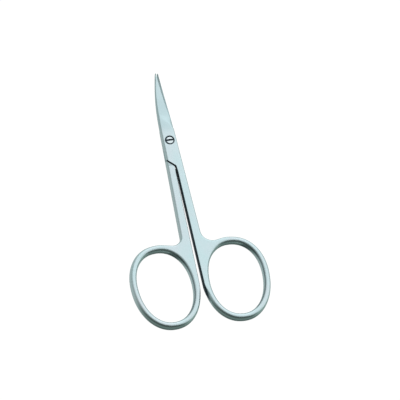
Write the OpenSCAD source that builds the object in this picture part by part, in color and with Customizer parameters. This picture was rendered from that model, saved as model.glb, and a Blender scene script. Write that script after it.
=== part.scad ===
// Curved cuticle scissors: two ground steel halves, lapped at half thickness, on a slotted pivot screw.
// Frame: origin on the pivot axis in the plane of the back faces, +X to the right, +Y toward the
// tips, +Z toward the screw head. Sizes are in millimetres and angles in degrees.
// Each half is drawn as it lies in closed scissors and is then swung about the pivot to the rest pose.

/* [Rings] */
// Inside width of each finger ring
ring_hole_w = 17.7; // [15:0.1:21]
// Inside length of each finger ring
ring_hole_l = 25.2; // [22:0.2:29]
// Width of the rim round each finger ring
rim_w = 2.3; // [1.9:0.05:2.9]
// Distance from the pivot down to the middle of the rings
ring_reach = 51.9; // [47:0.1:60]
// Lean of each ring's long axis, outward toward the blades
ring_lean = 3.6; // [0:0.2:8]
// Squareness of the rings, where 2 is an ellipse
ring_square = 2.14; // [2:0.02:2.5]
// Share by which the rings are wider toward the blades
ring_egg = 0.03; // [0:0.01:0.05]
// Flat left along the middle of the rounded rim's top
rim_flat = 0.25; // [0.1:0.05:0.6]
// Flat left along the middle of the rounded rim's walls
rim_wall = 0.5; // [0.2:0.05:1]

/* [Shanks] */
// Thickness of the steel at the shanks and rings
thick = 2.9; // [2.2:0.05:3.4]
// Width of each shank level with the top of the ring's opening
shank_w = 3.1; // [2.2:0.05:3.4]
// Gap between the shanks of closed scissors
shank_gap = 0.25; // [0.15:0.05:0.5]
// Rounding of the outer edges of the shanks
shank_round = 0.5; // [0.2:0.05:0.8]
// Rounding of the edges where the two shanks face each other
inner_round = 0.3; // [0.1:0.05:0.4]
// Rounding of the ring's opening where the web joins it to the shank
web_round = 0.6; // [0.2:0.05:0.8]
// Fillet between the front half's shank and its ring
fillet_front = 3.8; // [1:0.1:4]
// Fillet between the back half's shank and its ring
fillet_back = 2.8; // [1:0.1:4]
// Place on the ring where its web leaves the rim, counted from the right-hand side
web_leave = 101.5; // [92:0.5:110]

/* [Joint] */
// Width of the joint at the pivot
joint_w = 4.9; // [4.2:0.1:5.4]
// Distance from the pivot to the shoulder's upper end, at the outer edge
shoulder_high = 7.0; // [5.5:0.1:8]
// Distance from the pivot to the shoulder's lower end, between the shanks
shoulder_low = 9.3; // [8.6:0.1:12]
// Gap along the shoulders of closed scissors
shoulder_gap = 0.25; // [0.15:0.05:0.5]
// Rounding where the shoulder turns into the shank
shoulder_round = 0.6; // [0.4:0.1:1]
// Chamfer along the shoulders and round the screw's recess
edge_break = 0.12; // [0.05:0.01:0.15]
// Clearance between the lapped faces of the two halves
lap_clear = 0.04; // [0.02:0.01:0.08]
// Rounding of the joint's and blades' outer edge
spine_round = 0.6; // [0.3:0.05:0.8]

/* [Blades] */
// Distance from the pivot to the tips
blade_l = 23.8; // [20:0.2:28]
// Distance from the pivot to where the ground cutting bevel begins
bevel_start = 4.2; // [4:0.1:7]
// Step in from the joint's side to the cutting edge
bevel_step = 0.15; // [0.05:0.05:0.4]
// Fullness of the cutting edge's line, where 1 is straight
edge_belly = 1.5; // [1:0.1:1.8]
// Distance by which the cutting edges pass the middle at the tips
tip_cross = 0.02; // [0:0.01:0.15]
// Width of the cutting bevel
bevel_w = 1.8; // [0.8:0.1:2.4]
// Roundness of the cutting bevel, where 1 is flat and 2 a quarter ellipse
bevel_belly = 1.6; // [1:0.1:2]
// Thickness left at the cutting edge
edge_t = 0.12; // [0.08:0.02:0.2]
// Depth of the hollow ground into the blades' shearing faces
hollow = 0.1; // [0:0.01:0.15]
// Distance from the pivot to where the blades start to curve up
curve_start = 10.2; // [7.5:0.1:12]
// Radius of the blades' upward curve
curve_r = 28.5; // [24:0.5:60]
// Width of each blade at its tip
tip_w = 0.3; // [0.2:0.02:0.5]
// Thickness of each blade at its tip
tip_t = 0.45; // [0.3:0.05:0.8]

/* [Pivot screw] */
// Diameter of the screw head
head_d = 2.8; // [2.4:0.1:3.4]
// Height of the screw head from its seat to its rim
head_t = 0.5; // [0.3:0.05:0.6]
// Height of the domed crown above the head's rim
head_crown = 0.14; // [0.05:0.01:0.25]
// Clearance round the screw head in its recess
recess_clear = 0.14; // [0.1:0.02:0.3]
// Width of the screwdriver slot
slot_w = 0.45; // [0.3:0.05:0.7]
// Depth of the screwdriver slot below the head's rim
slot_depth = 0.28; // [0.15:0.01:0.3]
// Turn of the screwdriver slot from the X axis
slot_turn = 8; // [-45:1:45]
// Diameter of the smooth journal that the front half turns on
journal_d = 1.9; // [1.7:0.05:2.1]
// Radial clearance of the journal in the front half
journal_clear = 0.03; // [0.02:0.01:0.06]
// Clearance under the screw head, which lets the front half turn
seat_clear = 0.02; // [0.01:0.01:0.05]
// Diameter of the threaded end in the back half
thread_d = 1.6; // [1.3:0.05:1.65]
// Distance by which the threaded end stays below the back face
end_recess = 0.08; // [0.05:0.01:0.15]

/* [Pose] */
// Angle by which the scissors stand open at rest
rest_open = 1.2; // [0:0.1:10]

/* [Hidden] */
$fn = 96;

steel = [0.80, 0.86, 0.88];
steel_back = [0.74, 0.80, 0.82];
bright = [0.92, 0.94, 0.95];

// A half is drawn with its shank at +X and its lap plane at z = 0, its outer face upward.
half_t = thick / 2;
lap_z = lap_clear / 2;
inner_x = shank_gap / 2;
hole_top = ring_reach - ring_hole_l / 2;
edge_slope = (inner_x + shank_w - joint_w / 2) / hole_top;
past = 1;

edge_steps = 4;
free_columns = 48;
fan_columns = 5;
fillet_columns = 7;
line_columns = 5;
soften_over = 50;
corner_steps = 6;
corner_in = 0.15;
probe = 0.5;

function smooth(t) = let (c = min(1, max(0, t))) c * c * (3 - 2 * c);
function mix(a, b, t) = a + (b - a) * t;
function reversed(list) = [for (i = [len(list) - 1 : -1 : 0]) list[i]];

// Outer edge of shank and joint: a straight line that widens toward the ring
function outer_x(y) = joint_w / 2 - edge_slope * y;

// Shoulder line between the halves, along the front plate's own edge, and the plate's corner on it
shoulder_a = [-inner_x, -shoulder_low];
shoulder_b = [-outer_x(-shoulder_high), -shoulder_high];
shoulder_d = (shoulder_b - shoulder_a) / norm(shoulder_b - shoulder_a);
function shoulder_at(x, gap) =
    [x, shoulder_a.y - gap / abs(shoulder_d.x) + (x - shoulder_a.x) * shoulder_d.y / shoulder_d.x];
bar_top = shoulder_at(inner_x, 0).y - shoulder_round;

// Middle line of the rim, its outward normal, and its outer and inner wall, at the angle u
function oval(u) =
    let (a = (ring_hole_w + rim_w) / 2,
         b = (ring_hole_l + rim_w) / 2,
         y = b * sign(sin(u)) * pow(abs(sin(u)), 2 / ring_square),
         x = a * sign(cos(u)) * pow(abs(cos(u)), 2 / ring_square) * (1 + ring_egg * y / b))
    [x * cos(ring_lean) + y * sin(ring_lean), y * cos(ring_lean) - x * sin(ring_lean)];
function oval_normal(u) = let (d = oval(u + probe) - oval(u - probe)) [d.y, -d.x] / norm(d);
function leftmost(lo, hi, n = 24) =
    let (m = (lo + hi) / 2)
    n == 0 ? m : oval_normal(m).y > 0 ? leftmost(m, hi, n - 1) : leftmost(lo, m, n - 1);
left_u = leftmost(150, 210);
ring_c = [inner_x + rim_w / 2 - oval(left_u).x, -ring_reach];
function rim_out(u) = ring_c + oval(u) + oval_normal(u) * rim_w / 2;
function rim_in(u) = ring_c + oval(u) - oval_normal(u) * rim_w / 2;
// Angle at which the ring's opening passes the given x, between the web's start and the left side
function angle_at(x, lo = web_leave, hi = left_u, n = 24) =
    let (m = (lo + hi) / 2)
    n == 0 ? m : rim_in(m).x > x ? angle_at(x, m, hi, n - 1) : angle_at(x, lo, m, n - 1);

// The fillet's centre lies one radius outside both the shank's edge and the web's straight edge
shank_n = [1, edge_slope] / norm([1, edge_slope]);
web_n = oval_normal(web_leave);
web_end = rim_out(web_leave);
function fillet_c(r) =
    let (a = shank_n * [joint_w / 2, 0] + r,
         b = web_n * web_end + r,
         det = shank_n.x * web_n.y - shank_n.y * web_n.x)
    [(a * web_n.y - b * shank_n.y) / det, (shank_n.x * b - web_n.x * a) / det];

// Points from a wall over its rounded edge to the flat, above (side 1) or below (side -1)
function edge_points(p, n, side, round_x, round_z) =
    [for (k = [0 : edge_steps])
        let (a = 90 * k / edge_steps,
             in = round_x * (1 - cos(a)),
             z = half_t - round_z * (1 - sin(a)))
        [p.x - n.x * in, p.y - n.y * in, side * z]];
// Closed section of the bow from the opening's wall to the outer wall
function section(hole, hole_n, hole_r, out, out_n, out_r) =
    concat(edge_points(hole, hole_n, 1, hole_r.x, hole_r.y),
           reversed(edge_points(out, out_n, 1, out_r.x, out_r.y)),
           edge_points(out, out_n, -1, out_r.x, out_r.y),
           reversed(edge_points(hole, hole_n, -1, hole_r.x, hole_r.y)));
// Closed section of the straight shank at the given height
function shank_section(y) =
    concat(reversed(edge_points([inner_x, y], [-1, 0], 1, inner_round, inner_round)),
           edge_points([inner_x, y], [-1, 0], -1, inner_round, inner_round),
           reversed(edge_points([outer_x(y), y], [1, 0], -1, shank_round, shank_round)),
           edge_points([outer_x(y), y], [1, 0], 1, shank_round, shank_round));

// Edge rounding of the free rim, and of the web that joins it to the shank
rim_r = [(rim_w - rim_flat) / 2, (thick - rim_wall) / 2];
inner_r = [inner_round, inner_round];
web_r = [web_round, web_round];
shank_r = [shank_round, shank_round];

function free_section(i) =
    let (span = web_leave + 360 - left_u,
         u = web_leave - span * i / free_columns,
         soft = smooth(min(web_leave - u, u - left_u + 360) / soften_over),
         end_r = i < free_columns / 2 ? shank_r : inner_r)
    section(rim_in(u), -oval_normal(u), mix(web_r, rim_r, soft),
            rim_out(u), oval_normal(u), mix(end_r, rim_r, soft));
function web_section(u, out, out_n, out_r) =
    section(rim_in(u), -oval_normal(u), web_r, out, out_n, out_r);

// Shank and finger ring of one half as one skin: a loft round the ring's opening that takes in the
// web, and from its gap at the fillet's upper end a straight loft up the shank.
module bow(fillet_r) {
    centre = fillet_c(fillet_r);
    top = centre - fillet_r * shank_n;
    foot = centre - fillet_r * web_n;
    from_a = atan2(-shank_n.y, -shank_n.x) + 360;
    to_a = atan2(-web_n.y, -web_n.x) + 360;
    first_x = rim_in(left_u).x + corner_in;
    last_x = rim_in(web_leave).x;
    function across(x) = angle_at(mix(first_x, last_x, (x - top.x) / (web_end.x - top.x)));
    turn_a = from_a > to_a ? from_a - 360 : from_a;

    free = [for (i = [0 : free_columns]) free_section(i)];
    fan = [for (i = [1 : fan_columns])
        web_section(mix(left_u, angle_at(first_x), i / (fan_columns + 1)),
                    [inner_x, mix(rim_out(left_u).y, top.y, i / fan_columns)], [-1, 0], inner_r)];
    corner = [web_section(angle_at(first_x), [outer_x(top.y), top.y], [1, 0], shank_r)];
    fillet = [for (i = [1 : fillet_columns])
        let (a = mix(turn_a, to_a, i / fillet_columns),
             n = [cos(a), sin(a)],
             p = centre + fillet_r * n)
        web_section(across(p.x), p, -n, shank_r)];
    line = [for (i = [1 : line_columns - 1])
        let (p = mix(foot, web_end, i / line_columns))
        web_section(across(p.x), p, web_n, shank_r)];
    ring = concat(free, fan, corner, fillet, line);

    columns = len(ring);
    around = len(ring[0]);
    row = edge_steps + 1;
    gap = free_columns + fan_columns;
    points = concat([for (s = ring) each s], shank_section(bar_top));
    function at(i, j) = (i % columns) * around + j % around;
    // The shank's lower end takes the outer points of the two columns beside the gap
    lower = concat([for (j = [row : 3 * row - 1]) at(gap, j)],
                   [for (j = [3 * row - 1 : -1 : row]) at(gap + 1, j)]);
    upper = [for (j = [0 : around - 1]) columns * around + j];
    skin = [for (i = [0 : columns - 1], j = [0 : around - 1])
        if (i != gap || j < row || j >= 3 * row - 1)
            each [[at(i, j), at(i, j + 1), at(i + 1, j + 1)],
                  [at(i, j), at(i + 1, j + 1), at(i + 1, j)]]];
    shank = [for (j = [0 : around - 1])
        let (k = (j + 1) % around)
        each [[lower[j], lower[k], upper[k]], [lower[j], upper[k], upper[j]]]];
    polyhedron(points, concat(skin, shank, [upper]));
}

// Upward curve of the blades, a surface of revolution about the pivot, so that the two
// shearing faces keep the same clearance however far the scissors are open
function rise(x, y) =
    let (r = norm([x, y]) - curve_start)
    y > 0 && r > 0 ? curve_r - sqrt(curve_r * curve_r - r * r) : 0;

// Outer edge of the blade: an arc that leaves the joint's side in line and ends at the tip
bow_in = joint_w / 2 + tip_cross - tip_w;
bow_r = (blade_l * blade_l + bow_in * bow_in) / (2 * bow_in);
function spine_x(y) = y < 0 ? outer_x(y) : joint_w / 2 - bow_r + sqrt(bow_r * bow_r - y * y);
// Cutting side of the blade: the joint's side, then the cutting edge's full line to the tip
edge_x0 = spine_x(bevel_start) - bevel_step;
function cut_x(y) =
    y < bevel_start ? spine_x(y)
        : mix(edge_x0, tip_cross, pow((y - bevel_start) / (blade_l - bevel_start), edge_belly));
function blade_t(y) = mix(half_t - lap_z, tip_t, smooth((y - bevel_start) / (blade_l - bevel_start)));

plunge = 0.8;
tip_blunt = 0.12;
tip_narrow = 0.5;
round_of_width = 0.35;
round_of_depth = 0.7;
bevel_of_width = 0.6;
hollow_steps = 4;
blade_steps = 18;
blade_y = concat([bar_top, 0, bevel_start / 2, bevel_start - 0.01, bevel_start, bevel_start + plunge],
                 [for (i = [1 : blade_steps])
                     mix(bevel_start + plunge, blade_l - tip_blunt, i / blade_steps)],
                 [blade_l]);

// Section of joint plate and blade: hollow lap face below, rounded outer edge left, cutting bevel right
function blade_section(y, side) =
    let (narrow = y < blade_l ? 1 : tip_narrow,
         xl = -spine_x(y) * narrow,
         xr = cut_x(y) * narrow,
         t = blade_t(y),
         ground = smooth((y - bevel_start) / plunge),
         flat_w = xr - xl,
         rl = min(spine_round, round_of_width * flat_w, round_of_depth * t),
         bevel_x = min(bevel_w, bevel_of_width * flat_w),
         rx = mix(shank_round, bevel_x, ground),
         rz = mix(shank_round, t - edge_t, ground),
         bulge = mix(2, bevel_belly, ground),
         depth = hollow * ground * min(1, flat_w / joint_w),
         under = [for (k = [0 : hollow_steps])
             let (s = 2 * k / hollow_steps - 1)
             [mix(xl, xr, k / hollow_steps), depth * (1 - s * s)]],
         right = [for (k = [0 : edge_steps])
             let (a = 90 * k / edge_steps)
             [xr - rx * (1 - pow(cos(a), 2 / bulge)), t - rz * (1 - pow(sin(a), 2 / bulge))]],
         left = [for (k = [edge_steps : -1 : 0])
             let (a = 90 * k / edge_steps)
             [xl + rl * (1 - cos(a)), t - rl * (1 - sin(a))]])
    [for (p = concat(under, right, left))
        [p.x, y, lap_z + p.y + side * rise(p.x, y)]];

// Closed solid through sections that have the same number of points
module loft(sections) {
    n = len(sections);
    m = len(sections[0]);
    sides = [for (i = [0 : n - 2], j = [0 : m - 1])
        let (a = i * m + j, b = i * m + (j + 1) % m)
        each [[a, b, b + m], [a, b + m, a + m]]];
    polyhedron([for (s = sections) each s],
               concat(sides, [[for (j = [m - 1 : -1 : 0]) j]], [[for (j = [0 : m - 1]) (n - 1) * m + j]]));
}

// Lower layer of the shank beside the other half's plate, up to the shoulder
function stub_section(y) =
    concat([[inner_x, y, lap_z]],
           edge_points([inner_x, y], [-1, 0], -1, inner_round, inner_round),
           reversed(edge_points([outer_x(y), y], [1, 0], -1, shank_round, shank_round)),
           [[outer_x(y), y, lap_z]]);

// Prism under the shoulder line and left of x, with its corner rounded. Its wall keeps the gap from
// the line, and where it meets the outer face it leans by the chamfer, outward (1) or inward (-1).
module shoulder_prism(x, gap, lean) {
    corner = shoulder_at(x, gap);
    down = [0, -1];
    half = acos(shoulder_d * down) / 2;
    centre = corner + (shoulder_d + down) / norm(shoulder_d + down) * shoulder_round / sin(half);
    from = corner + down * shoulder_round / tan(half) - centre;
    to = corner + shoulder_d * shoulder_round / tan(half) - centre;
    reach = 3 * joint_w;
    function outline(grow) =
        let (arc = [for (i = [0 : corner_steps])
                let (v = mix(from, to, i / corner_steps))
                centre + v / norm(v) * (shoulder_round + grow)])
        concat([[arc[0].x, bar_top - past]], arc,
               [arc[corner_steps] + shoulder_d * reach, [-2 * reach, bar_top - past]]);
    levels = [[-half_t - past, 0], [half_t - edge_break, 0], [half_t + edge_break, 2 * lean * edge_break]];
    loft([for (l = levels) [for (p = reversed(outline(l[1]))) [p.x, p.y, l[0]]]]);
}

// One half before it is drilled; side is 1 for the front half and -1 for the back half, whose
// blade curves toward its own lap face
module blank(side, fillet_r) {
    bow(fillet_r);
    difference() {
        loft([for (y = blade_y) blade_section(y, side)]);
        shoulder_prism(inner_x, 0, 1);
    }
    intersection() {
        loft([stub_section(bar_top), stub_section(-shoulder_high + past)]);
        rotate([0, 180, 0]) shoulder_prism(-inner_x, shoulder_gap, -1);
    }
}

module seat(side) translate([0, 0, half_t]) rotate([0, side > 0 ? 0 : 180, side * rest_open / 2]) children();

recess_d = head_d + 2 * recess_clear;
recess_z = thick - head_t - seat_clear - head_crown;
head_z = recess_z + seat_clear;
lap_back = half_t - lap_z;

module front_half() color(steel) difference() {
    seat(1) blank(1, fillet_front);
    translate([0, 0, -past]) cylinder(h = thick + 2 * past, d = journal_d + 2 * journal_clear);
    translate([0, 0, recess_z]) cylinder(h = thick, d = recess_d);
    translate([0, 0, thick - edge_break])
        cylinder(h = 2 * edge_break, d1 = recess_d, d2 = recess_d + 4 * edge_break);
}

module back_half() color(steel_back) difference() {
    seat(-1) blank(-1, fillet_back);
    translate([0, 0, -past]) cylinder(h = thick + 2 * past, d = thread_d);
}

module pivot_screw() color(bright) {
    dome_r = (pow(head_d / 2, 2) + pow(head_crown, 2)) / (2 * head_crown);
    difference() {
        intersection() {
            translate([0, 0, head_z]) cylinder(h = head_t + head_crown + past, d = head_d);
            translate([0, 0, thick - dome_r]) sphere(r = dome_r);
        }
        rotate([0, 0, slot_turn]) translate([-head_d, -slot_w / 2, head_z + head_t - slot_depth])
            cube([2 * head_d, slot_w, thick]);
    }
    translate([0, 0, lap_back]) cylinder(h = head_z - lap_back, d = journal_d);
    translate([0, 0, end_recess]) cylinder(h = lap_back - end_recess, d = thread_d);
}

front_half();
back_half();
pivot_screw();
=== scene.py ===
# %% [markdown]
# Cuticle scissors, dressed for the studio. The real ones are two forged steel halves that lap at half
# thickness and turn on a slotted screw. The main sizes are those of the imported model. This lesson
# rebuilds the same forms with finer curves and softer edges, and gives the steel its satin finish.

# %% The frame
import math
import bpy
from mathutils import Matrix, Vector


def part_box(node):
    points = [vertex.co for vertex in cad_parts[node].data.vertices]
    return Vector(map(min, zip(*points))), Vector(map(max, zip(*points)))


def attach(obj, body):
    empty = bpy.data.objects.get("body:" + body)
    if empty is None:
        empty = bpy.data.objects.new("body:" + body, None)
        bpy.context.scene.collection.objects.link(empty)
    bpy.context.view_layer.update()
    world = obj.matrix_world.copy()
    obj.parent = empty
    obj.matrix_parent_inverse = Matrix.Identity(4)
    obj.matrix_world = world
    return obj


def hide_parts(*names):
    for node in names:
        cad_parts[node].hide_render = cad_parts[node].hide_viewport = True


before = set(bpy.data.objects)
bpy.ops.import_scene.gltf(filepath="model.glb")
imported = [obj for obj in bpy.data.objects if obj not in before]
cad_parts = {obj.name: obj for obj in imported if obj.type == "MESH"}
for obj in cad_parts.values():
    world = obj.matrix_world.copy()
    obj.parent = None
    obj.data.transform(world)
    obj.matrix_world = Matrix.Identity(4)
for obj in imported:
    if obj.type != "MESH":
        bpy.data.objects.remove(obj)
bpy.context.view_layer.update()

from types import SimpleNamespace

import bmesh
import bpy
from mathutils import Matrix, Vector

# %% [markdown]
# Sizes come first, in millimetres. They are the driving sizes of the scissors, such as the rings'
# opening and the blades' upward curve, and the other places follow from them. The thickness is read
# from the frame, because the top of the screw's crown lies level with the front.

# %% Driving sizes
MM = 0.001
scene = bpy.context.scene
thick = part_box("pivot_screw")[1][2] / MM

# The opening, the rim's width, how far the ring's middle lies from the pivot, the oval's lean in
# degrees, its squareness and egg shape, and what the rounding leaves level on top and upright on a wall
ring = SimpleNamespace(
    hole_w=17.7, hole_l=25.2, rim=2.3, reach=51.9, lean=3.6, square=2.14, egg=0.03, flat=0.1, wall=0.5)

# The gap lies between the two shanks, and the web leaves the ring at web_leave degrees of its oval
shank = SimpleNamespace(
    width=3.1, gap=0.25, outer_round=0.75, inner_round=0.4, web_round=1.15, web_leave=101.5)

# The shoulder slants from high, at the outer edge, to low, at the gap, both measured from the pivot
joint = SimpleNamespace(
    width=4.9, high=7.0, low=9.3, gap=0.25, corner=0.6, edge=0.2, lap_clear=0.04, spine_round=0.75)

# The grind begins at start, where the edge steps in, and reaches its depth over plunge. The bevel takes
# a share of the blade's width, and the two bellies bend the cutting edge and the bevel's section
blade = SimpleNamespace(
    length=23.8, start=4.2, step=0.15, belly=1.5, cross=0.02, bevel=0.86, bevel_belly=1.06, edge_t=0.12,
    hollow=0.1, curve_start=10.2, curve_r=28.5, tip_w=0.3, tip_t=0.45, plunge=0.8, tip_round=0.3)

# Head, journal and thread are diameters, slot is a width, and slot_turn is in degrees from the X axis
screw = SimpleNamespace(
    head=2.8, head_t=0.5, crown=0.14, recess_clear=0.14, slot=0.45, slot_depth=0.28, slot_turn=1,
    journal=1.9, journal_clear=0.03, seat_clear=0.02, thread=1.6, end_recess=0.08)

# The fillet between web and shank, on the front half, 1, and on the back half, -1
fillets = {1: 3.8, -1: 2.8}

# Degrees between the two halves in the photographed pose
rest_open = 1.2

# %% Sizes that follow
half_t = thick / 2
half_swing = math.radians(rest_open / 2)
lap_z = joint.lap_clear / 2
inner_x = shank.gap / 2
hole_top = ring.reach - ring.hole_l / 2
edge_slope = (inner_x + shank.width - joint.width / 2) / hole_top
past = 1.0
print(f"steel {thick:.2f} mm thick, the shanks' outer edges spread {edge_slope:.4f} per mm")

# %% [markdown]
# A few short functions serve the whole lesson. They blend two values, ease a share in and out, give a
# point on the unit circle, and place the outer edge of a shank, which spreads a little toward the ring.


# %% Small helpers
def mix(a, b, t):
    return a + (b - a) * t


def smooth(t):
    c = min(1.0, max(0.0, t))
    return c * c * (3 - 2 * c)


def turned(degrees):
    return math.cos(math.radians(degrees)), math.sin(math.radians(degrees))


def outer_x(y):
    return joint.width / 2 - edge_slope * y


# %% [markdown]
# Most solids here are skins stretched over rings of points, each ring with as many points as the next:
# a ring round the finger opening, a turned screw and a prism are all made that way. One function makes
# the mesh and turns every face outward, and one joins or cuts two meshes with a Boolean modifier. A
# closed skin can still be inside out, so its signed volume decides whether all faces are reversed.

# %% Skins
lathe_steps = 128


def turned_outward(mesh):
    work = bmesh.new()
    work.from_mesh(mesh)
    bmesh.ops.recalc_face_normals(work, faces=work.faces)
    if work.calc_volume(signed=True) < 0:
        bmesh.ops.reverse_faces(work, faces=work.faces)
    work.to_mesh(mesh)
    work.free()
    return mesh


def solid(name, points, faces):
    mesh = bpy.data.meshes.new(name)
    mesh.from_pydata(points, [], faces)
    return turned_outward(mesh)


def loft(name, rings):
    n, m = len(rings), len(rings[0])
    faces = [(i * m + j, i * m + (j + 1) % m, (i + 1) * m + (j + 1) % m, (i + 1) * m + j)
             for i in range(n - 1) for j in range(m)]
    faces += [tuple(range(m)), tuple(range((n - 1) * m, n * m))]
    return solid(name, [p for r in rings for p in r], faces)


def lathe(name, profile):
    angles = [2 * math.pi * k / lathe_steps for k in range(lathe_steps)]
    return loft(name, [[(r * math.cos(a), r * math.sin(a), z) for a in angles] for r, z in profile])


# %% Joins
def evaluated_mesh(piece):
    graph = bpy.context.evaluated_depsgraph_get()
    return bpy.data.meshes.new_from_object(piece.evaluated_get(graph))


def placed(name, data):
    piece = bpy.data.objects.new(name, data)
    scene.collection.objects.link(piece)
    return piece


def joined(first, second, operation):
    piece, other = placed("work_piece", first), placed("work_tool", second)
    step = piece.modifiers.new("join", "BOOLEAN")
    step.operation = operation
    step.solver = "MANIFOLD"
    step.object = other
    mesh = evaluated_mesh(piece)
    for used in (piece, other):
        bpy.data.objects.remove(used)
    return mesh


def volume(mesh):
    work = bmesh.new()
    work.from_mesh(mesh)
    open_edges = sum(not e.is_manifold for e in work.edges)
    size = work.calc_volume(signed=True)
    work.free()
    return f"{size:.1f} mm3, {open_edges} open edges"


# %% [markdown]
# Node trees, for shaders and for geometry alike, are written as Python sums. A Link stands for a
# socket, and each sign beside one adds a Math node. Any other node comes from Tree.add. A ramp rises
# softly from 0 at its start to 1, over the distance given, and most masks below are made of ramps.

# %% Links and trees
class Link:
    def __init__(self, tree, socket):
        self.tree, self.socket = tree, socket

    def __add__(self, other):
        return self.tree.math("ADD", self, other)

    def __radd__(self, other):
        return self.tree.math("ADD", other, self)

    def __sub__(self, other):
        return self.tree.math("SUBTRACT", self, other)

    def __rsub__(self, other):
        return self.tree.math("SUBTRACT", other, self)

    def __mul__(self, other):
        return self.tree.math("MULTIPLY", self, other)

    def __rmul__(self, other):
        return self.tree.math("MULTIPLY", other, self)

    def __truediv__(self, other):
        return self.tree.math("DIVIDE", self, other)

    def __rtruediv__(self, other):
        return self.tree.math("DIVIDE", other, self)

    def __pow__(self, other):
        return self.tree.math("POWER", self, other)

    def __lt__(self, other):
        return self.tree.math("LESS_THAN", self, other)

    def __gt__(self, other):
        return self.tree.math("GREATER_THAN", self, other)


class Tree:
    def __init__(self, tree):
        self.tree = tree

    def add(self, kind, settings=None, inputs=None, output=0):
        node = self.tree.nodes.new(kind)
        for name, value in (settings or {}).items():
            setattr(node, name, value)
        for name, value in (inputs or {}).items():
            if isinstance(value, Link):
                self.tree.links.new(value.socket, node.inputs[name])
            else:
                node.inputs[name].default_value = value
        return Link(self, node.outputs[output] if node.outputs else None)

    def math(self, operation, *values):
        return self.add("ShaderNodeMath", {"operation": operation}, dict(enumerate(values)))

    def absolute(self, value):
        return self.math("ABSOLUTE", value)

    def smaller(self, a, b):
        return self.math("MINIMUM", a, b)

    def larger(self, a, b):
        return self.math("MAXIMUM", a, b)

    def clamp(self, value):
        return self.smaller(self.larger(value, 0.0), 1.0)

    def smooth(self, value):
        c = self.clamp(value)
        return c * c * (3 - 2 * c)

    def ramp(self, value, start, over):
        return self.smooth((value - start) / over)

    def blend(self, a, b, factor):
        return self.add("ShaderNodeMix", {"data_type": "RGBA"}, {0: factor, 6: a, 7: b}, 2)

    def parts(self, vector):
        node = self.add("ShaderNodeSeparateXYZ", {}, {0: vector}).socket.node
        return [Link(self, socket) for socket in node.outputs]

    def noise(self, place, scale, stretch, detail, rough=0.5):
        across = self.add("ShaderNodeMapping", {}, {"Vector": place, "Scale": stretch})
        return self.add("ShaderNodeTexNoise", {}, {
            "Vector": across, "Scale": scale, "Detail": detail, "Roughness": rough}, "Fac")


# %% [markdown]
# Steel that has been tumbled and brushed is satin, not a mirror: its roughness wanders a little, fine
# grain runs along the shanks, and the edges that fingers and cases rub are smoother and brighter. A
# picture of brushed steel could be wrapped round each half. Noise in a half's own coordinates was
# chosen, because it needs no unwrapping, has no seam, and stays in place as the half turns. The edges
# are found by the way the surface faces: the flats look straight up or down, and everything between is
# an edge. The hidden lap faces keep the cross marks of the wheel that ground them.
#
# Some tones are paint and not light from the studio. The walls between the shanks, the shoulders and the
# screw's recess are painted nearly black as shade, as in the photo. A thin line of painted shade runs
# along the right wall of each finger opening, and each blade is a little darker near its root.

# %% Places and tones of the steel
recess_r = screw.head / 2 + screw.recess_clear
recess_z = thick - screw.head_t - screw.seat_clear - screw.crown
# Nearly black, painted as shade into the crevices, along the openings, in the slot and round the head
painted_shade = (0.03, 0.055, 0.08, 1.0)


def new_material(name):
    material = bpy.data.materials.new(name)
    material.use_nodes = True
    material.node_tree.nodes.clear()
    return material, Tree(material.node_tree)


def toned(tint, red, green, blue):
    return (tint[0] * red, tint[1] * green, tint[2] * blue, 1.0)


def about_zero(noise, amount):
    return (noise - 0.5) * amount


# %% Painted shade in the crevices
def crevices(tree, x, y, z, face, lap_side, wall_tilt):
    """1 where shade is painted, between the shanks, at the shoulders and in the screw's recess, and 0
    elsewhere.
    """
    tilt_over = 0.2
    wall_depth, wall_fade = 0.3, 0.9
    from_inner = -lap_side * x + half_swing * y - inner_x
    inner_wall = tree.ramp(lap_side * face[0], wall_tilt, tilt_over)
    inner_wall = inner_wall * (1 - tree.ramp(from_inner, wall_depth, wall_fade))

    above, below, beside, slant = 1.0, 1.4, 2.9, 0.1
    near_shoulder = (y < above - joint.high) * (y > -joint.low - below) * (tree.absolute(x) < beside)
    shoulder = tree.ramp(tree.absolute(face[1]), slant, tilt_over) * near_shoulder

    past_wall, past_floor = 0.04, 0.1
    recess = ((x * x + y * y) ** 0.5 < recess_r + past_wall) * (z > recess_z - past_floor)
    return tree.clamp(inner_wall * (y < -joint.high) + shoulder + recess)


def opening_shade_line(tree, x, y, face, lap_side):
    """1 in a thin line of painted shade along the right wall of the finger opening, and 0 elsewhere."""
    # Painted shade: a thin nearly black line inside the opening, where the wall faces left
    line_start, line_end, line_over = 0.4, 0.72, 0.12
    to_middle = -lap_side * (inner_x + ring.rim + ring.hole_w / 2 + half_swing * ring.reach) - x
    inward = (face[0] * to_middle - face[1] * (y + ring.reach) > 0) * (y < -hole_top)
    left_tilt = -1 * face[0]
    line = tree.ramp(left_tilt, line_start, line_over) * (1 - tree.ramp(left_tilt, line_end, line_over))
    return line * inward


# %% Satin steel
cover = SimpleNamespace(root=0.9, edge=0.6, hidden=0.95, line=0.55)
wander = SimpleNamespace(cloud=0.08, marks=0.06, edge=0.12, hidden=0.2, lap=0.3)


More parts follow.
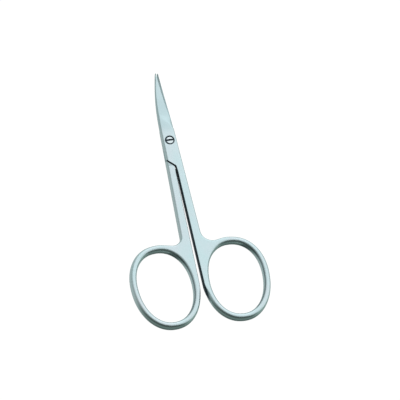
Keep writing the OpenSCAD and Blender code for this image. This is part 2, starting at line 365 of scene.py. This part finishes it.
def satin_steel(name, tint, lap_side, roughness, wall_tilt):
    material, tree = new_material(name)
    place = tree.add("ShaderNodeTexCoord", output="Object")
    x, y, z = [part / MM for part in tree.parts(place)]
    face = tree.parts(tree.add("ShaderNodeTexCoord", output="Normal"))
    hidden = crevices(tree, x, y, z, face, lap_side, wall_tilt)
    line = opening_shade_line(tree, x, y, face, lap_side)
    flat_start, flat_over, lap_start, lap_over = 0.72, 0.22, 0.7, 0.2
    edge = (1 - tree.ramp(tree.absolute(face[2]), flat_start, flat_over)) * (1 - hidden)
    lap = tree.ramp(lap_side * face[2], lap_start, lap_over) * (y > -joint.low)
    root_start, root_over, root_end, root_fade = 2.0, 4.0, 12.0, 9.0
    root = tree.ramp(y, root_start, root_over) * (1 - tree.ramp(y, root_end, root_fade))

    grain = tree.noise(place, scale=7000.0, stretch=(1.0, 0.06, 1.0), detail=2.0)
    cross_marks = tree.noise(place, scale=3800.0, stretch=(0.05, 1.0, 1.0), detail=2.0)
    cloud = tree.noise(place, scale=130.0, stretch=(1.0, 0.6, 1.0), detail=3.0, rough=0.6)
    streaks = tree.noise(place, scale=420.0, stretch=(1.0, 0.25, 1.0), detail=2.0)
    marks = mix(grain, cross_marks, lap)

    warm, cool = toned(tint, 1.05, 0.95, 0.97), toned(tint, 0.95, 1.0, 1.0)
    root_grey, rubbed = toned(tint, 0.83, 0.86, 0.87), toned(tint, 1.03, 1.01, 1.0)
    cloud_share, streak_share = 2.2, 0.4
    mottle = tree.clamp(0.5 + about_zero(cloud, cloud_share) + about_zero(streaks, streak_share))
    colour = tree.blend(warm, cool, mottle)
    # Painted shade: the crevices and a thin line in each finger opening turn nearly black
    for tone, amount in ((root_grey, root * cover.root), (rubbed, edge * cover.edge),
                         (painted_shade, hidden * cover.hidden), (painted_shade, line * cover.line)):
        colour = tree.blend(colour, tone, amount)

    rough = roughness + about_zero(cloud, wander.cloud) + about_zero(marks, wander.marks)
    rough = rough - edge * wander.edge + hidden * wander.hidden + lap * wander.lap
    bump = tree.add("ShaderNodeBump", {}, {
        "Strength": 0.2, "Distance": 0.000004, "Height": marks})
    surface = tree.add("ShaderNodeBsdfPrincipled", {}, {
        "Base Color": colour, "Metallic": 1.0, "Roughness": rough, "Normal": bump})
    tree.add("ShaderNodeOutputMaterial", {}, {"Surface": surface})
    return material


steel_tint = (0.75, 0.86, 0.88)
front_steel = satin_steel("front_satin_steel", steel_tint, lap_side=-1.0, roughness=0.34, wall_tilt=0.3)
back_steel = satin_steel("back_satin_steel", steel_tint, lap_side=1.0, roughness=0.34, wall_tilt=0.75)
print("satin steel takes", len(front_steel.node_tree.nodes), "nodes on a half")

# %% [markdown]
# The screw is turned and then polished, so it is smoother than the halves and keeps faint rings from
# the lathe. A plain metal would do at this distance. The rings are a sine of the distance from the
# axis, and are there for views from close by. The slot and the rim of the head are painted dark as
# shade, a little wider than they are cut and off their centre, to look as bold as in the photo.


# %% Polished screw steel
def polished_steel(name, tint, roughness):
    material, tree = new_material(name)
    place = tree.add("ShaderNodeTexCoord", output="Object")
    x, y, z = [part / MM for part in tree.parts(place)]
    tool_pitch = 0.045
    turning = tree.math("SINE", (x * x + y * y) ** 0.5 * (2 * math.pi / tool_pitch))

    # Painted shade: the slot and a ring at the head's rim are painted nearly black, wider than they are
    # cut
    slot_shift, slot_spread = 0.07, 0.12
    slot_c, slot_s = turned(screw.slot_turn)
    in_slot = tree.absolute(y * slot_c - x * slot_s - slot_shift) < screw.slot / 2 + slot_spread
    rim_shift, rim_band, rim_over = 0.09, 0.36, 0.16
    off_x = x - rim_shift
    near_rim = tree.ramp((off_x * off_x + y * y) ** 0.5, screw.head / 2 - rim_band, rim_over)
    dark = tree.clamp(in_slot + near_rim) * (z > half_t)

    specks = tree.add("ShaderNodeTexNoise", {}, {"Vector": place, "Scale": 2200.0, "Detail": 2.0}, "Fac")
    colour = tree.blend(toned(tint, 0.93, 0.94, 0.95), (*tint, 1.0), specks)
    dark_cover, speck_rough, turning_rough, turning_height = 0.93, 0.08, 0.012, 0.5
    colour = tree.blend(colour, painted_shade, dark * dark_cover)
    rough = roughness + about_zero(specks, speck_rough) + turning * turning_rough
    bump = tree.add("ShaderNodeBump", {}, {
        "Strength": 0.15, "Distance": 0.000006, "Height": turning * turning_height + specks})
    surface = tree.add("ShaderNodeBsdfPrincipled", {}, {
        "Base Color": colour, "Metallic": 1.0, "Roughness": rough, "Normal": bump})
    tree.add("ShaderNodeOutputMaterial", {}, {"Surface": surface})
    return material


screw_steel = polished_steel("polished_screw_steel", (0.90, 0.93, 0.94), roughness=0.16)
print("polished steel takes", len(screw_steel.node_tree.nodes), "nodes")

# %% [markdown]
# A finger ring's middle line is a slightly squared, slightly egg-shaped oval. Its walls lie half a rim
# to either side, along the line's normal. A curve drawn by hand could follow the photo as well, but a
# formula stays smooth at any number of steps and gives the normal that the walls need.


# %% The ring's oval
def oval(u):
    a = (ring.hole_w + ring.rim) / 2
    b = (ring.hole_l + ring.rim) / 2
    c, s = turned(u)
    power = 2 / ring.square
    y = b * math.copysign(abs(s) ** power, s)
    x = a * math.copysign(abs(c) ** power, c) * (1 + ring.egg * y / b)
    lean_c, lean_s = turned(ring.lean)
    return Vector((x * lean_c + y * lean_s, y * lean_c - x * lean_s))


def oval_normal(u, probe=0.5):
    d = oval(u + probe) - oval(u - probe)
    return Vector((d.y, -d.x)).normalized()


def halved(low, high, test, turns=30):
    for _ in range(turns):
        middle = (low + high) / 2
        low, high = (middle, high) if test(middle) else (low, middle)
    return (low + high) / 2


# The oval's leftmost point, which lies beside the other ring, is sought between two angles
left_range = (150.0, 210.0)
left_u = halved(*left_range, lambda u: oval_normal(u).y > 0)
ring_c = Vector((inner_x + ring.rim / 2 - oval(left_u).x, -ring.reach))


def rim_out(u):
    return ring_c + oval(u) + oval_normal(u) * ring.rim / 2


def rim_in(u):
    return ring_c + oval(u) - oval_normal(u) * ring.rim / 2


def angle_at(x):
    return halved(shank.web_leave, left_u, lambda u: rim_in(u).x > x)


print(f"ring centre {ring_c.x:.2f}, {ring_c.y:.2f}, leftmost at {left_u:.1f} degrees")

# %% [markdown]
# The section of the rim is a rounded bar. Near the shank its outer side takes the tighter rounding of
# the shank's edges, and the bar widens into a flat web, whose outer side bends into the shank's edge
# with a fillet. A round wire bent to the oval and blended into a bar would be quicker, but the real rim
# has no seam there. The steps along the rounding decide how smooth the highlights on the rim look.

# %% Sections of the bow
edge_steps = 10
free_columns = 220
soften_over = 18.0
rim_r = ((ring.rim - ring.flat) / 2, (thick - ring.wall) / 2)
inner_r = (shank.inner_round, shank.inner_round)
outer_r = (shank.outer_round, shank.outer_round)
web_r = (shank.web_round, shank.web_round)
leftward, rightward = Vector((-1, 0)), Vector((1, 0))


def edge_points(p, n, side, round_x, round_z):
    points = []
    for k in range(edge_steps + 1):
        c, s = turned(90 * k / edge_steps)
        inward = round_x * (1 - c)
        points.append((p.x - n.x * inward, p.y - n.y * inward, side * (half_t - round_z * (1 - s))))
    return points


def section(hole, hole_n, hole_r, out, out_n, out_r):
    return (edge_points(hole, hole_n, 1, *hole_r) + edge_points(out, out_n, 1, *out_r)[::-1]
            + edge_points(out, out_n, -1, *out_r) + edge_points(hole, hole_n, -1, *hole_r)[::-1])


def shank_section(y, near_r):
    near, far = Vector((inner_x, y)), Vector((outer_x(y), y))
    near_side = edge_points(near, leftward, 1, near_r, near_r)[::-1]
    near_side += edge_points(near, leftward, -1, near_r, near_r)
    far_side = edge_points(far, rightward, -1, *outer_r)[::-1] + edge_points(far, rightward, 1, *outer_r)
    return near_side + far_side


def mixed(a, b, t):
    return (mix(a[0], b[0], t), mix(a[1], b[1], t))


def free_section(i):
    span = shank.web_leave + 360 - left_u
    u = shank.web_leave - span * i / free_columns
    soft = smooth(min(shank.web_leave - u, u - left_u + 360) / soften_over)
    end_r = outer_r if i < free_columns / 2 else inner_r
    return section(rim_in(u), -oval_normal(u), mixed(web_r, rim_r, soft),
                   rim_out(u), oval_normal(u), mixed(end_r, rim_r, soft))


def web_section(u, out, out_n, out_r):
    return section(rim_in(u), -oval_normal(u), web_r, out, out_n, out_r)


# %% Where the shoulder runs
shoulder_a = Vector((-inner_x, -joint.low))
shoulder_b = Vector((-outer_x(-joint.high), -joint.high))
shoulder_d = (shoulder_b - shoulder_a).normalized()


def shoulder_at(x, gap):
    fall = gap / abs(shoulder_d.x)
    return Vector((x, shoulder_a.y - fall + (x - shoulder_a.x) * shoulder_d.y / shoulder_d.x))


bar_top = shoulder_at(inner_x, 0).y - joint.corner
print(f"the shank keeps its full thickness up to y = {bar_top:.2f}")


# %% The fillet between web and shank
def fillet(r):
    """Its centre, where it meets the shank and the web, and its first and last angle."""
    shank_n = Vector((1, edge_slope)).normalized()
    web_n = oval_normal(shank.web_leave)
    a, b = shank_n.x * joint.width / 2 + r, web_n.dot(rim_out(shank.web_leave)) + r
    det = shank_n.x * web_n.y - shank_n.y * web_n.x
    centre = Vector((a * web_n.y - b * shank_n.y, shank_n.x * b - web_n.x * a)) / det
    start = math.degrees(math.atan2(-shank_n.y, -shank_n.x)) + 360
    stop = math.degrees(math.atan2(-web_n.y, -web_n.x)) + 360
    if start > stop:
        start -= 360
    return centre, centre - r * shank_n, centre - r * web_n, start, stop


# %% Columns round the opening
fan_columns = 10
fillet_columns = 26
line_columns = 8
corner_in = 0.15


def bow_columns(fillet_r):
    """The free rim, a fan along the shank's inner edge, the fillet, and the web's straight side."""
    centre, top, foot, start, stop = fillet(fillet_r)
    web_n, web_end = oval_normal(shank.web_leave), rim_out(shank.web_leave)
    first_x, last_x = rim_in(left_u).x + corner_in, rim_in(shank.web_leave).x

    def across(x):
        return angle_at(mix(first_x, last_x, (x - top.x) / (web_end.x - top.x)))

    columns = [free_section(i) for i in range(free_columns + 1)]
    for i in range(1, fan_columns + 1):
        u = mix(left_u, angle_at(first_x), i / (fan_columns + 1))
        out = Vector((inner_x, mix(rim_out(left_u).y, top.y, i / fan_columns)))
        columns.append(web_section(u, out, leftward, inner_r))
    columns.append(web_section(angle_at(first_x), Vector((outer_x(top.y), top.y)), rightward, outer_r))
    for i in range(1, fillet_columns + 1):
        n = Vector(turned(mix(start, stop, i / fillet_columns)))
        p = centre + fillet_r * n
        columns.append(web_section(across(p.x), p, -n, outer_r))
    for i in range(1, line_columns):
        p = foot.lerp(web_end, i / line_columns)
        columns.append(web_section(across(p.x), p, web_n, outer_r))
    return columns


# %% [markdown]
# The bow is the shank and the finger ring of one half. The columns make a band round the opening, left
# open where the shank's foot stands, and a second loft goes straight up the shank from that foot. Near
# the joint the rounding of the shank's inner edge eases off to the joint's own broken edge.

# %% The bow
ease_over = 2.0
easing = ((1.0, 1.0), (0.6, 0.8), (0.3, 0.5), (0.0, 0.0))


def bow(fillet_r):
    columns = bow_columns(fillet_r)
    count, m = len(columns), len(columns[0])
    row, gap = edge_steps + 1, free_columns + fan_columns
    points = [p for c in columns for p in c]

    def at(i, j):
        return (i % count) * m + j % m

    faces = [(at(i, j), at(i, j + 1), at(i + 1, j + 1), at(i + 1, j))
             for i in range(count) for j in range(m) if i != gap or j < row or j >= 3 * row - 1]
    below = [at(gap, j) for j in range(row, 3 * row)]
    below += [at(gap + 1, j) for j in range(3 * row - 1, row - 1, -1)]
    for down, rounding in easing:
        start = len(points)
        points += shank_section(bar_top - down * ease_over, mix(joint.edge, shank.inner_round, rounding))
        above = list(range(start, start + m))
        faces += [(below[j], below[(j + 1) % m], above[(j + 1) % m], above[j]) for j in range(m)]
        below = above
    return solid("bow", points, faces + [tuple(below)])


# %% [markdown]
# The joint plate and the blade are one long piece whose section changes by a rule: an arc for the
# spine, a full line for the cutting edge, a bevel that starts at a plunge, a hollow-ground face below,
# and an upward curve that turns about the pivot, so that the gap between the edges stays the same at
# every opening. That is work for Geometry Nodes: a flat grid supplies the points, rows along the blade
# and columns round its section, and a formula in fields puts each one in its place. Its first and last
# rows draw in to a single point, and the grid's two sides meet, so merging by distance closes the skin.

# %% Rows and columns of the blade
hollow_steps = 8
plate_rows = 14
blade_rows = 130
rows = plate_rows + blade_rows + 4
around = hollow_steps + 1 + 2 * (edge_steps + 1)
first_right, first_left = hollow_steps + 1, hollow_steps + edge_steps + 2


def numbered_grid(tree):
    """The grid, each point's row between the caps, its column, and 1 where it lies in a cap."""
    grid = tree.add("GeometryNodeMeshGrid", {}, {
        "Size X": 1.0, "Size Y": 1.0, "Vertices X": rows, "Vertices Y": around + 1}, "Mesh")
    u, v, _ = tree.parts(tree.add("GeometryNodeInputPosition"))
    row = tree.math("ROUND", (u + 0.5) * (rows - 1))
    real = tree.smaller(tree.larger(row - 1, 0.0), float(rows - 3))
    column = tree.math("ROUND", (v + 0.5) * around)
    column = column * (column < around - 0.5)
    is_cap = 1 - (row > 0.5) * (row < rows - 1.5)
    return grid, real, column, is_cap


# %% The blade's outline
step_run = 0.01
tip_blunt = 0.75


def blade_outline(tree, size, real):
    """Of each row: its place, its left and right side, its thickness, and its share of the blade."""
    # Even rows up the plate, then even rows from the plunge to the tip
    on_blade = real > plate_rows + 0.5
    start, length, half_w = size.bevel_start, size.blade_length, size.joint_width / 2
    y_plate = mix(bar_top, start - step_run, real / plate_rows)
    y_blade = mix(start, length, (real - plate_rows - 1) / blade_rows)
    y = mix(y_plate, y_blade, on_blade)
    up = tree.larger(y, 0.0)
    share = tree.clamp((y - start) / (length - start))

    # The spine is an arc of a large circle, and the cutting edge bellies toward the middle line
    bow_in = half_w + blade.cross - size.tip_width
    bow_r = (length * length + bow_in * bow_in) / (2 * bow_in)
    spine = half_w - edge_slope * tree.smaller(y, 0.0) - bow_r + (bow_r * bow_r - up * up) ** 0.5
    edge_x0 = half_w - bow_r + (bow_r * bow_r - start * start) ** 0.5 - blade.step
    cut = mix(spine, mix(edge_x0, blade.cross, share ** blade.belly), on_blade)
    to_tip = tree.clamp((y - (length - blade.tip_round)) / blade.tip_round)
    narrow = mix(1.0, (1 - to_tip * to_tip) ** 0.5, tip_blunt)
    t = mix(half_t - lap_z, blade.tip_t, tree.smooth(share))
    return y, -1 * spine * narrow, cut * narrow, t, share


# %% The blade's section
spine_over_w, spine_over_t = 0.35, 0.7
bevel_plunges = 7


def blade_section(tree, size, column, y, xl, xr, t, share):
    """x and z of each point: the hollow-ground face below, the bevel on the right, the spine left."""
    start, flat_w = size.bevel_start, xr - xl
    rl = tree.smaller(tree.smaller(flat_w * spine_over_w, t * spine_over_t), joint.spine_round)
    slope = tree.ramp(y, start, blade.plunge * bevel_plunges)
    rx = mix(shank.outer_round, flat_w * size.bevel_share, slope)
    rz = mix(shank.outer_round, t - blade.edge_t, tree.smooth(share))
    power = 2 / mix(2.0, blade.bevel_belly, slope)
    a_right = tree.clamp((column - first_right) / edge_steps) * (math.pi / 2)
    a_left = tree.clamp((around - 1 - column) / edge_steps) * (math.pi / 2)
    right_x = xr - rx * (1 - tree.math("COSINE", a_right) ** power)
    right_z = t - rz * (1 - tree.math("SINE", a_right) ** power)
    left_x = xl + rl * (1 - tree.math("COSINE", a_left))
    left_z = t - rl * (1 - tree.math("SINE", a_left))

    s = column * (2 / hollow_steps) - 1
    ground = tree.ramp(y, start, blade.plunge) * tree.smaller(flat_w / size.joint_width, 1.0)
    under_x = mix(xl, xr, tree.clamp(column / hollow_steps))
    under_z = size.hollow_depth * ground * (1 - s * s)

    is_left = column > first_left - 0.5
    is_right = (column > first_right - 0.5) * (column < first_left - 0.5)
    is_under = 1 - is_right - is_left
    x = is_right * right_x + is_left * left_x + is_under * under_x
    z = is_right * right_z + is_left * left_z + is_under * under_z
    return x, z


# %% The blade's tree
merge_apart = 0.00001


def blade_tree(material):
    group = bpy.data.node_groups.new("lapped_blade", "GeometryNodeTree")
    group.interface.new_socket("Geometry", in_out="OUTPUT", socket_type="NodeSocketGeometry")
    tree = Tree(group)
    sizes = {"blade_length": blade.length, "joint_width": joint.width, "tip_width": blade.tip_w,
             "bevel_start": blade.start, "bevel_share": blade.bevel, "curve_start": blade.curve_start,
             "curve_radius": blade.curve_r, "hollow_depth": blade.hollow, "curve_side": 1.0}
    for name, value in sizes.items():
        socket = group.interface.new_socket(name, in_out="INPUT", socket_type="NodeSocketFloat")
        socket.default_value = value
    given = group.nodes.new("NodeGroupInput")
    size = SimpleNamespace(**{name: Link(tree, given.outputs[name]) for name in sizes})

    grid, real, column, is_cap = numbered_grid(tree)
    y, xl, xr, t, share = blade_outline(tree, size, real)
    x, z = blade_section(tree, size, column, y, xl, xr, t, share)
    x, z = mix(x, (xl + xr) / 2, is_cap), mix(z, t / 2, is_cap)

    # The upward curve depends only on the distance from the pivot, so the blades clear as they turn
    r = tree.larger((x * x + y * y) ** 0.5 - size.curve_start, 0.0) * (y > 0.0)
    rise = size.curve_radius - (size.curve_radius * size.curve_radius - r * r) ** 0.5
    height = z + lap_z + size.curve_side * rise
    place = tree.add("ShaderNodeCombineXYZ", {}, {0: x, 1: y, 2: height})
    mesh = tree.add("GeometryNodeSetPosition", {}, {"Geometry": grid, "Position": place})
    mesh = tree.add("GeometryNodeMergeByDistance", {}, {"Geometry": mesh, "Distance": merge_apart})
    mesh = tree.add("GeometryNodeRealizeInstances", {}, {"Geometry": mesh})
    mesh = tree.add("GeometryNodeSetMaterial", {}, {"Geometry": mesh, "Material": material})
    tree.add("NodeGroupOutput", {}, {"Geometry": mesh})
    return group


# %% The blade's mesh
def lapped_blade(side, material):
    group = blade_tree(material)
    piece = placed("work_blade", bpy.data.meshes.new("work_blade"))
    modifier = piece.modifiers.new("blade", "NODES")
    modifier.node_group = group
    for item in group.interface.items_tree:
        if item.in_out == "INPUT":
            modifier[item.identifier] = float(side) if item.name == "curve_side" else item.default_value
    mesh = evaluated_mesh(piece)
    bpy.data.objects.remove(piece)
    return turned_outward(mesh)


# %% [markdown]
# Where the halves cross, each has a shoulder: the front plate ends on a slanting line, and the other
# half's shank starts below it at full thickness. One prism with a rounded corner cuts the plate, and the
# same prism, a gap further down and turned over, ends the lower layer of the shank. The prism flares at
# the outer face by a quarter circle, which leaves both edges softly broken. A Bevel modifier could round
# them too, but only after the Boolean, on edges that it would first have to pick out.

# %% Shoulder prism and stub
corner_steps = 14


def shoulder_prism(x, gap, lean):
    corner, down = shoulder_at(x, gap), Vector((0, -1))
    half_angle = math.acos(shoulder_d.dot(down)) / 2
    centre = corner + (shoulder_d + down).normalized() * joint.corner / math.sin(half_angle)
    start = corner + down * joint.corner / math.tan(half_angle) - centre
    stop = corner + shoulder_d * joint.corner / math.tan(half_angle) - centre
    reach, foot = 3 * joint.width, bar_top - past

    def outline(grow, z):
        arc = [centre + start.lerp(stop, i / corner_steps).normalized() * (joint.corner + grow)
               for i in range(corner_steps + 1)]
        far = arc[-1] + shoulder_d * reach
        corners = [Vector((arc[0].x, foot)), *arc, far, Vector((-2 * reach, foot))]
        return [(p.x, p.y, z) for p in corners]

    levels = [outline(0, -half_t - past)]
    for k in range(edge_steps + 1):
        c, s = turned(90 * k / edge_steps)
        levels.append(outline(lean * joint.edge * (1 - c), half_t - joint.edge * (1 - s)))
    levels.append(outline(lean * joint.edge, half_t + past))
    return loft("shoulder_prism", levels)


def stub():
    def ring_at(y):
        near, far = Vector((inner_x, y)), Vector((outer_x(y), y))
        return ([(inner_x, y, lap_z)] + edge_points(near, leftward, -1, joint.edge, joint.edge)
                + edge_points(far, rightward, -1, *outer_r)[::-1] + [(outer_x(y), y, lap_z)])
    return loft("stub", [ring_at(bar_top), ring_at(-joint.high + past)])


def blank(side, material):
    plate = joined(lapped_blade(side, material), shoulder_prism(inner_x, 0, 1), "DIFFERENCE")
    turned_over = shoulder_prism(-inner_x, joint.gap, -1)
    turned_over.transform(Matrix.Rotation(math.pi, 4, "Y"))
    lower = joined(stub(), turned_over, "INTERSECT")
    whole = joined(joined(bow(fillets[side]), plate, "UNION"), lower, "UNION")
    print("side", side, "plate", volume(plate), "lower", volume(lower), "whole", volume(whole))
    return whole


# %% [markdown]
# Each blank swings about the pivot to the pose in the photograph and is drilled there. The front half
# gets the smooth bore and the recess that the screw's head sinks into, with a softly broken rim, and the
# back half gets the tapped hole. The finished half is scaled to metres with its place in its mesh, so
# that its object can stay at the origin, unturned.

# %% Finishing a piece
sharp_angle = math.radians(32)
merge_within, shortest_edge = 0.0015, 0.001


def finished(name, mesh, material, body, node):
    mesh.transform(Matrix.Scale(MM, 4))
    mesh.materials.clear()
    mesh.materials.append(material)
    work = bmesh.new()
    work.from_mesh(mesh)
    bmesh.ops.remove_doubles(work, verts=work.verts, dist=merge_within * MM)
    bmesh.ops.dissolve_degenerate(work, edges=work.edges, dist=shortest_edge * MM)
    work.to_mesh(mesh)
    work.free()
    mesh.shade_smooth()
    mesh.set_sharp_from_angle(angle=sharp_angle)
    piece = placed("work_finish", mesh)
    weigh = piece.modifiers.new("weigh", "WEIGHTED_NORMAL")
    weigh.keep_sharp = True
    result = evaluated_mesh(piece)
    bpy.data.objects.remove(piece)
    result.name = name
    piece = placed(name, result)
    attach(piece, body)
    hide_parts(node)
    print(name, len(result.polygons), "faces")
    return piece


# %% Both halves
bore_r = screw.journal / 2 + screw.journal_clear


def rounded_rim(radius, z, edge):
    return [(radius + edge * (1 - c), z - edge * (1 - s))
            for c, s in [turned(90 * k / edge_steps) for k in range(edge_steps + 1)]]


def front_drill():
    rim = rounded_rim(recess_r, thick, joint.edge)
    return lathe("front_drill", [(bore_r, -past), (bore_r, recess_z), (recess_r, recess_z), *rim,
                                 (rim[-1][0], thick + past)])


def back_drill():
    rim = [(r, -z) for r, z in rounded_rim(screw.thread / 2, 0.0, joint.edge)]
    return lathe("back_drill", [(rim[-1][0], -past), *rim[::-1], (screw.thread / 2, thick + past)])


def half(side, material, drill):
    mesh = blank(side, material)
    over = Matrix.Rotation(0.0 if side > 0 else math.pi, 4, "Y")
    swing = Matrix.Rotation(side * half_swing, 4, "Z")
    mesh.transform(Matrix.Translation((0, 0, half_t)) @ swing @ over)
    return joined(mesh, drill, "DIFFERENCE")


finished("front_half_finished", half(1, front_steel, front_drill()), front_steel,
         "front_body", "front_half")
finished("back_half_finished", half(-1, back_steel, back_drill()), back_steel,
         "back_body", "back_half")


# %% [markdown]
# The screw is turned on a lathe: a shallow domed head with a rounded rim, a smooth journal that the
# front half turns on, and a threaded end. The thread is hidden in the back half, so a plain cylinder
# with a chamfer stands in for it. A half profile spun about the axis makes all of that in one skin, as
# the lathe does, and the slot is sawn straight across by a Boolean.

# %% The pivot screw
head_round = 0.16
chamfer = 0.12
dome_rings = 14
axis_r = 0.001
slot_corner, slot_flare, lip_depth = 0.06, 0.05, 0.06


def screw_profile():
    r, thread_r = screw.head / 2, screw.thread / 2
    dome_r = (r * r + screw.crown ** 2) / (2 * screw.crown)
    dome_z = thick - dome_r
    seat_z, lap_back, end_z = recess_z + screw.seat_clear, half_t - lap_z, screw.end_recess
    profile = [(axis_r, end_z), (thread_r - chamfer, end_z), (thread_r, end_z + chamfer)]
    profile += [(thread_r, lap_back), (screw.journal / 2, lap_back)]
    profile += [(screw.journal / 2, seat_z), (r, seat_z)]
    top_r = r - head_round
    top_z = dome_z + math.sqrt(dome_r ** 2 - top_r ** 2)
    for k in range(edge_steps + 1):
        c, s = turned(90 * k / edge_steps)
        profile.append((top_r + head_round * c, top_z - head_round * (1 - s)))
    for k in range(1, dome_rings + 1):
        at = max(axis_r, top_r * (1 - k / dome_rings))
        profile.append((at, dome_z + math.sqrt(dome_r ** 2 - at ** 2)))
    return profile


def screw_slot():
    w, reach, floor_z = screw.slot / 2, screw.head, thick - screw.crown - screw.slot_depth
    inner_w, outer_w = w - slot_corner, w + slot_flare
    wall_z, lip, lip_top = floor_z + slot_corner, thick - lip_depth, thick - lip_depth + slot_flare
    right_side = [(inner_w, floor_z), (w, wall_z), (w, lip), (outer_w, lip_top), (outer_w, thick + past)]
    outline = [(-y, z) for y, z in right_side[::-1]] + right_side
    slot = loft("slot", [[(x, y, z) for y, z in outline] for x in (-reach, reach)])
    slot.transform(Matrix.Rotation(math.radians(screw.slot_turn), 4, "Z"))
    return slot


pivot_screw = joined(lathe("pivot_screw", screw_profile()), screw_slot(), "DIFFERENCE")
finished("pivot_screw_finished", pivot_screw, screw_steel, "back_body", "pivot_screw")

# %% [markdown]
# The camera stands where the photograph was taken: high, a little to the left, and far off, which
# takes a long lens. Its three directions were found by matching outlines. A constraint could aim it at
# the pivot, but the pivot isn't the middle of the picture, so the camera looks at the point that is.

# %% Camera
toward = Vector((-0.21654, -0.41532, 0.88352)).normalized()
right = Vector((0.96916, -0.20052, 0.14327))
right = (right - right.dot(toward) * toward).normalized()
upward = toward.cross(right)
distance = 1330.84 * MM
aim_right, aim_down = 10.140 * MM, 19.043 * MM
aim = Vector((0, 0, half_t * MM)) + aim_right * right - aim_down * upward
lens = bpy.data.cameras.new("photo_camera")
lens.sensor_width = 36.0
lens.lens = 364.8
lens.clip_start, lens.clip_end = 0.01, 20.0
camera = placed("photo_camera", lens)
eye = aim + distance * toward
camera.matrix_world = Matrix([
    (right[i], upward[i], toward[i], eye[i]) for i in range(3)] + [(0, 0, 0, 1)])
scene.camera = camera
print(f"camera {distance:.2f} m from the scissors, with a lens of {lens.lens:.0f} mm")

# %% [markdown]
# Steel shows its surroundings, so the light is a room more than a lamp. Area lights and dark cards
# could stand round the scissors. Here one world draws the whole room from the direction that a ray
# leaves in, because it has no gap between one light and the next. High on the far right side is a large
# bright tent, which the flats mirror. The near side of the room is dark, which draws the dark lines
# along the edges that turn toward the camera. The camera itself sees plain white instead of the room.

# %% Studio
world = bpy.data.worlds.new("studio")
world.use_nodes = True
world.node_tree.nodes.clear()
scene.world = world
room = Tree(world.node_tree)
way_x, way_y, way_z = room.parts(room.add("ShaderNodeTexCoord", output="Generated"))
bright = SimpleNamespace(
    near_low=0.21, near_high=0.085, far_low=0.5, far_high=0.42, right=0.5, near_floor=0.13,
    far_floor=0.45, tent=0.95, window=0.25)

# Where each part of the room begins along its direction, and over what share it comes in
tent_far, tent_right = 0.9, 1.1
tent = room.ramp(way_z + tent_far * way_y + tent_right * way_x, start=0.72, over=0.6)
tent = tent * room.ramp(way_z, start=-0.15, over=0.45)
far_side = room.ramp(way_y, start=-0.27, over=0.6)
high = room.ramp(way_z, start=-0.1, over=0.6)
right_side = room.ramp(way_x, start=0.55, over=0.3)
downward = room.ramp(-1 * way_z, start=0.5, over=0.35)
window = room.ramp(way_y, start=0.5, over=0.3)

# %% Light of the studio
right_cover = 0.6
near_wall = mix(bright.near_low, bright.near_high, high)
far_wall = mix(bright.far_low, bright.far_high, high)
walls = mix(mix(near_wall, far_wall, far_side), bright.right, right_cover * right_side)
under = mix(bright.near_floor, bright.far_floor, far_side)
level = mix(mix(walls, under, downward), bright.tent + bright.window * window, tent)
near_tone, far_tone, tent_tone = (0.75, 1.0, 0.91, 1.0), (0.86, 1.0, 0.985, 1.0), (0.90, 0.985, 1.0, 1.0)
tinted = room.blend(room.blend(near_tone, far_tone, far_side), tent_tone, tent)
white = (1.0, 1.0, 1.0, 1.0)
dim = room.add("ShaderNodeBackground", {}, {"Color": tinted, "Strength": level})
plain = room.add("ShaderNodeBackground", {}, {"Color": white, "Strength": 1.0})
seen = room.add("ShaderNodeLightPath", output="Is Camera Ray")
shown = room.add("ShaderNodeMixShader", {}, {0: seen, 1: dim, 2: plain})
room.add("ShaderNodeOutputWorld", {}, {"Surface": shown})
scene.view_settings.view_transform = "Standard"
print("the studio takes", len(world.node_tree.nodes), "nodes")

# %% [markdown]
# The floor is a sheet of white paper just under the scissors. A lamp could light it, but lamps would
# also show in the steel, so the paper gives off its own light, and no shadow shows on it. Reflections
# don't see it, because the world already draws what the steel would see below.

# %% Floor
floor_size = 2.0
floor_drop = 0.00002
corners = ((-1, -1), (1, -1), (1, 1), (-1, 1))
floor_mesh = bpy.data.meshes.new("studio_floor")
spread = [(x * floor_size, y * floor_size, -floor_drop) for x, y in corners]
floor_mesh.from_pydata(spread, [], [(0, 1, 2, 3)])
paper, paper_tree = new_material("white_paper")
glow = paper_tree.add("ShaderNodeEmission", {}, {"Color": white, "Strength": 1.0})
matt = paper_tree.add("ShaderNodeBsdfDiffuse", {}, {"Color": (0.1, 0.1, 0.1, 1.0)})
both = paper_tree.add("ShaderNodeAddShader", {}, {0: glow, 1: matt})
paper_tree.add("ShaderNodeOutputMaterial", {}, {"Surface": both})
floor_mesh.materials.append(paper)
floor = placed("studio_floor", floor_mesh)
floor.visible_glossy = False
floor.visible_diffuse = False
